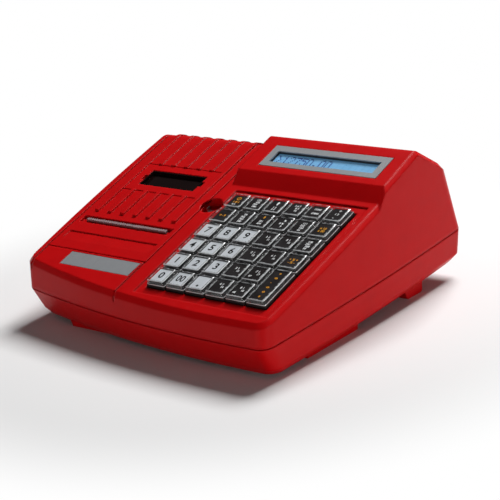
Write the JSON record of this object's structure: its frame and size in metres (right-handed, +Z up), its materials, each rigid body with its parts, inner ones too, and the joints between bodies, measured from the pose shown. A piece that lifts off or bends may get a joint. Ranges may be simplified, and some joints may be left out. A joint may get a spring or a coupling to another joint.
{
  "type": "ticket register",
  "caption": "Small desktop ticket register in red plastic with a sloping keypad, a raised display and a hinged ribbed lid over the ticket printer.",
  "frame": {"origin": "centre of the bounding box at the floor", "axes": "+Z up, +X to the right as the clerk sees it, -Y towards the clerk"},
  "size_m": [0.268, 0.2457, 0.1135],
  "materials": {
    "red_plastic": "fine texture",
    "smoked_window": "smoked clear",
    "steel": "brushed",
    "silver_plate": "satin silver",
    "black_plastic": "matt",
    "display_glass": "lit blue",
    "circuit_board": "solder mask",
    "cell_wrap": "shrink wrap",
    "grey_plastic": "matt",
    "aluminium": "satin",
    "roller_rubber": "ground",
    "gear_plastic": "matt",
    "brass": "machined",
    "motor_steel": "plated",
    "key_white": "clear cap",
    "key_black": "clear cap"
  },
  "bodies": {
    "case": {"top_cover": "red_plastic", "base_shell": "red_plastic", "lid_hinge_pin": "steel", "lid_catch": "steel", "label_plate": "silver_plate", "display_bezel": "silver_plate", "display_frame": "black_plastic", "lcd_module": "display_glass", "key_switches": "black_plastic", "keyboard_board": "circuit_board", "main_board": "circuit_board", "rear_sockets": "black_plastic", "battery_pack": "cell_wrap", "printer_chassis": "grey_plastic", "print_head": "aluminium", "stepper_motor": "motor_steel", "screws": "steel"},
    "lid": {"printer_lid": "red_plastic", "lid_window": "smoked_window", "tear_bar": "steel"},
    "platen": {"platen_roller": "roller_rubber", "platen_gear": "gear_plastic"},
    "idler": {"idler_gear": "gear_plastic"},
    "pinion": {"motor_pinion": "brass"},
    "key_row1_column1_cap": {"key_row1_column1": "key_white"},
    "key_row1_column2_cap": {"key_row1_column2": "key_white"},
    "key_row1_column3_cap": {"key_row1_column3": "key_white"},
    "key_row1_column4_cap": {"key_row1_column4": "key_black"},
    "key_row1_column5_cap": {"key_row1_column5": "key_black"},
    "key_row1_column6_cap": {"key_row1_column6": "key_black"},
    "key_row2_column1_cap": {"key_row2_column1": "key_white"},
    "key_row2_column2_cap": {"key_row2_column2": "key_white"},
    "key_row2_column3_cap": {"key_row2_column3": "key_white"},
    "key_row2_column4_cap": {"key_row2_column4": "key_black"},
    "key_row2_column5_cap": {"key_row2_column5": "key_black"},
    "key_row3_column1_cap": {"key_row3_column1": "key_white"},
    "key_row3_column2_cap": {"key_row3_column2": "key_white"},
    "key_row3_column3_cap": {"key_row3_column3": "key_white"},
    "key_row3_column4_cap": {"key_row3_column4": "key_black"},
    "key_row3_column5_cap": {"key_row3_column5": "key_black"},
    "key_row3_column6_cap": {"key_row3_column6": "key_black"},
    "key_row4_column1_cap": {"key_row4_column1": "key_white"},
    "key_row4_column2_cap": {"key_row4_column2": "key_white"},
    "key_row4_column3_cap": {"key_row4_column3": "key_white"},
    "key_row4_column4_cap": {"key_row4_column4": "key_black"},
    "key_row4_column5_cap": {"key_row4_column5": "key_black"},
    "key_row4_column6_cap": {"key_row4_column6": "key_black"},
    "key_row5_column1_cap": {"key_row5_column1": "key_black"},
    "key_row5_column2_cap": {"key_row5_column2": "key_black"},
    "key_row5_column3_cap": {"key_row5_column3": "key_black"},
    "key_row5_column4_cap": {"key_row5_column4": "key_black"},
    "key_row5_column5_cap": {"key_row5_column5": "key_black"},
    "key_row5_column6_cap": {"key_row5_column6": "key_black"},
    "key_row6_column1_cap": {"key_row6_column1": "key_black"},
    "key_row6_column2_cap": {"key_row6_column2": "key_black"},
    "key_row6_column3_cap": {"key_row6_column3": "key_black"},
    "key_row6_column4_cap": {"key_row6_column4": "key_black"},
    "key_row6_column5_cap": {"key_row6_column5": "key_black"},
    "key_row6_column6_cap": {"key_row6_column6": "key_black"}
  },
  "joints": [
    {"name": "lid_hinge", "type": "hinge", "parent": "case", "child": "lid", "pos_m": [0, 0.0918, 0.08663], "axis": [-1, 0, 0], "range_deg": [0, 75]},
    {"name": "platen_spin", "type": "hinge", "parent": "case", "child": "platen", "pos_m": [0, -0.04589, 0.05069], "axis": [1, 0, 0], "continuous": true},
    {"name": "idler_spin", "type": "hinge", "parent": "case", "child": "idler", "pos_m": [0, -0.02862, 0.04859], "axis": [1, 0, 0], "continuous": true},
    {"name": "pinion_spin", "type": "hinge", "parent": "case", "child": "pinion", "pos_m": [0, -0.01836, 0.03997], "axis": [1, 0, 0], "continuous": true},
    {"name": "key_row1_column1_press", "type": "slide", "parent": "case", "child": "key_row1_column1_cap", "axis": [0, -0.304, 0.9527], "range_m": [-0.003, 0], "stiffness_N_per_m": 180, "springref_m": 0.0015},
    {"name": "key_row1_column2_press", "type": "slide", "parent": "case", "child": "key_row1_column2_cap", "axis": [0, -0.304, 0.9527], "range_m": [-0.003, 0], "stiffness_N_per_m": 180, "springref_m": 0.0015},
    {"name": "key_row1_column3_press", "type": "slide", "parent": "case", "child": "key_row1_column3_cap", "axis": [0, -0.304, 0.9527], "range_m": [-0.003, 0], "stiffness_N_per_m": 180, "springref_m": 0.0015},
    {"name": "key_row1_column4_press", "type": "slide", "parent": "case", "child": "key_row1_column4_cap", "axis": [0, -0.304, 0.9527], "range_m": [-0.003, 0], "stiffness_N_per_m": 180, "springref_m": 0.0015},
    {"name": "key_row1_column5_press", "type": "slide", "parent": "case", "child": "key_row1_column5_cap", "axis": [0, -0.304, 0.9527], "range_m": [-0.003, 0], "stiffness_N_per_m": 180, "springref_m": 0.0015},
    {"name": "key_row1_column6_press", "type": "slide", "parent": "case", "child": "key_row1_column6_cap", "axis": [0, -0.304, 0.9527], "range_m": [-0.003, 0], "stiffness_N_per_m": 180, "springref_m": 0.0015},
    {"name": "key_row2_column1_press", "type": "slide", "parent": "case", "child": "key_row2_column1_cap", "axis": [0, -0.304, 0.9527], "range_m": [-0.003, 0], "stiffness_N_per_m": 180, "springref_m": 0.0015},
    {"name": "key_row2_column2_press", "type": "slide", "parent": "case", "child": "key_row2_column2_cap", "axis": [0, -0.304, 0.9527], "range_m": [-0.003, 0], "stiffness_N_per_m": 180, "springref_m": 0.0015},
    {"name": "key_row2_column3_press", "type": "slide", "parent": "case", "child": "key_row2_column3_cap", "axis": [0, -0.304, 0.9527], "range_m": [-0.003, 0], "stiffness_N_per_m": 180, "springref_m": 0.0015},
    {"name": "key_row2_column4_press", "type": "slide", "parent": "case", "child": "key_row2_column4_cap", "axis": [0, -0.304, 0.9527], "range_m": [-0.003, 0], "stiffness_N_per_m": 180, "springref_m": 0.0015},
    {"name": "key_row2_column5_press", "type": "slide", "parent": "case", "child": "key_row2_column5_cap", "axis": [0, -0.304, 0.9527], "range_m": [-0.003, 0], "stiffness_N_per_m": 180, "springref_m": 0.0015},
    {"name": "key_row3_column1_press", "type": "slide", "parent": "case", "child": "key_row3_column1_cap", "axis": [0, -0.304, 0.9527], "range_m": [-0.003, 0], "stiffness_N_per_m": 180, "springref_m": 0.0015},
    {"name": "key_row3_column2_press", "type": "slide", "parent": "case", "child": "key_row3_column2_cap", "axis": [0, -0.304, 0.9527], "range_m": [-0.003, 0], "stiffness_N_per_m": 180, "springref_m": 0.0015},
    {"name": "key_row3_column3_press", "type": "slide", "parent": "case", "child": "key_row3_column3_cap", "axis": [0, -0.304, 0.9527], "range_m": [-0.003, 0], "stiffness_N_per_m": 180, "springref_m": 0.0015},
    {"name": "key_row3_column4_press", "type": "slide", "parent": "case", "child": "key_row3_column4_cap", "axis": [0, -0.304, 0.9527], "range_m": [-0.003, 0], "stiffness_N_per_m": 180, "springref_m": 0.0015},
    {"name": "key_row3_column5_press", "type": "slide", "parent": "case", "child": "key_row3_column5_cap", "axis": [0, -0.304, 0.9527], "range_m": [-0.003, 0], "stiffness_N_per_m": 180, "springref_m": 0.0015},
    {"name": "key_row3_column6_press", "type": "slide", "parent": "case", "child": "key_row3_column6_cap", "axis": [0, -0.304, 0.9527], "range_m": [-0.003, 0], "stiffness_N_per_m": 180, "springref_m": 0.0015},
    {"name": "key_row4_column1_press", "type": "slide", "parent": "case", "child": "key_row4_column1_cap", "axis": [0, -0.304, 0.9527], "range_m": [-0.003, 0], "stiffness_N_per_m": 180, "springref_m": 0.0015},
    {"name": "key_row4_column2_press", "type": "slide", "parent": "case", "child": "key_row4_column2_cap", "axis": [0, -0.304, 0.9527], "range_m": [-0.003, 0], "stiffness_N_per_m": 180, "springref_m": 0.0015},
    {"name": "key_row4_column3_press", "type": "slide", "parent": "case", "child": "key_row4_column3_cap", "axis": [0, -0.304, 0.9527], "range_m": [-0.003, 0], "stiffness_N_per_m": 180, "springref_m": 0.0015},
    {"name": "key_row4_column4_press", "type": "slide", "parent": "case", "child": "key_row4_column4_cap", "axis": [0, -0.304, 0.9527], "range_m": [-0.003, 0], "stiffness_N_per_m": 180, "springref_m": 0.0015},
    {"name": "key_row4_column5_press", "type": "slide", "parent": "case", "child": "key_row4_column5_cap", "axis": [0, -0.304, 0.9527], "range_m": [-0.003, 0], "stiffness_N_per_m": 180, "springref_m": 0.0015},
    {"name": "key_row4_column6_press", "type": "slide", "parent": "case", "child": "key_row4_column6_cap", "axis": [0, -0.304, 0.9527], "range_m": [-0.003, 0], "stiffness_N_per_m": 180, "springref_m": 0.0015},
    {"name": "key_row5_column1_press", "type": "slide", "parent": "case", "child": "key_row5_column1_cap", "axis": [0, -0.304, 0.9527], "range_m": [-0.003, 0], "stiffness_N_per_m": 180, "springref_m": 0.0015},
    {"name": "key_row5_column2_press", "type": "slide", "parent": "case", "child": "key_row5_column2_cap", "axis": [0, -0.304, 0.9527], "range_m": [-0.003, 0], "stiffness_N_per_m": 180, "springref_m": 0.0015},
    {"name": "key_row5_column3_press", "type": "slide", "parent": "case", "child": "key_row5_column3_cap", "axis": [0, -0.304, 0.9527], "range_m": [-0.003, 0], "stiffness_N_per_m": 180, "springref_m": 0.0015},
    {"name": "key_row5_column4_press", "type": "slide", "parent": "case", "child": "key_row5_column4_cap", "axis": [0, -0.304, 0.9527], "range_m": [-0.003, 0], "stiffness_N_per_m": 180, "springref_m": 0.0015},
    {"name": "key_row5_column5_press", "type": "slide", "parent": "case", "child": "key_row5_column5_cap", "axis": [0, -0.304, 0.9527], "range_m": [-0.003, 0], "stiffness_N_per_m": 180, "springref_m": 0.0015},
    {"name": "key_row5_column6_press", "type": "slide", "parent": "case", "child": "key_row5_column6_cap", "axis": [0, -0.304, 0.9527], "range_m": [-0.003, 0], "stiffness_N_per_m": 180, "springref_m": 0.0015},
    {"name": "key_row6_column1_press", "type": "slide", "parent": "case", "child": "key_row6_column1_cap", "axis": [0, -0.304, 0.9527], "range_m": [-0.003, 0], "stiffness_N_per_m": 180, "springref_m": 0.0015},
    {"name": "key_row6_column2_press", "type": "slide", "parent": "case", "child": "key_row6_column2_cap", "axis": [0, -0.304, 0.9527], "range_m": [-0.003, 0], "stiffness_N_per_m": 180, "springref_m": 0.0015},
    {"name": "key_row6_column3_press", "type": "slide", "parent": "case", "child": "key_row6_column3_cap", "axis": [0, -0.304, 0.9527], "range_m": [-0.003, 0], "stiffness_N_per_m": 180, "springref_m": 0.0015},
    {"name": "key_row6_column4_press", "type": "slide", "parent": "case", "child": "key_row6_column4_cap", "axis": [0, -0.304, 0.9527], "range_m": [-0.003, 0], "stiffness_N_per_m": 180, "springref_m": 0.0015},
    {"name": "key_row6_column5_press", "type": "slide", "parent": "case", "child": "key_row6_column5_cap", "axis": [0, -0.304, 0.9527], "range_m": [-0.003, 0], "stiffness_N_per_m": 180, "springref_m": 0.0015},
    {"name": "key_row6_column6_press", "type": "slide", "parent": "case", "child": "key_row6_column6_cap", "axis": [0, -0.304, 0.9527], "range_m": [-0.003, 0], "stiffness_N_per_m": 180, "springref_m": 0.0015}
  ],
  "couplings": [
    {"joint": "idler_spin", "follows": "platen_spin", "ratio": -0.95455},
    {"joint": "pinion_spin", "follows": "platen_spin", "ratio": 1.9091}
  ]
}
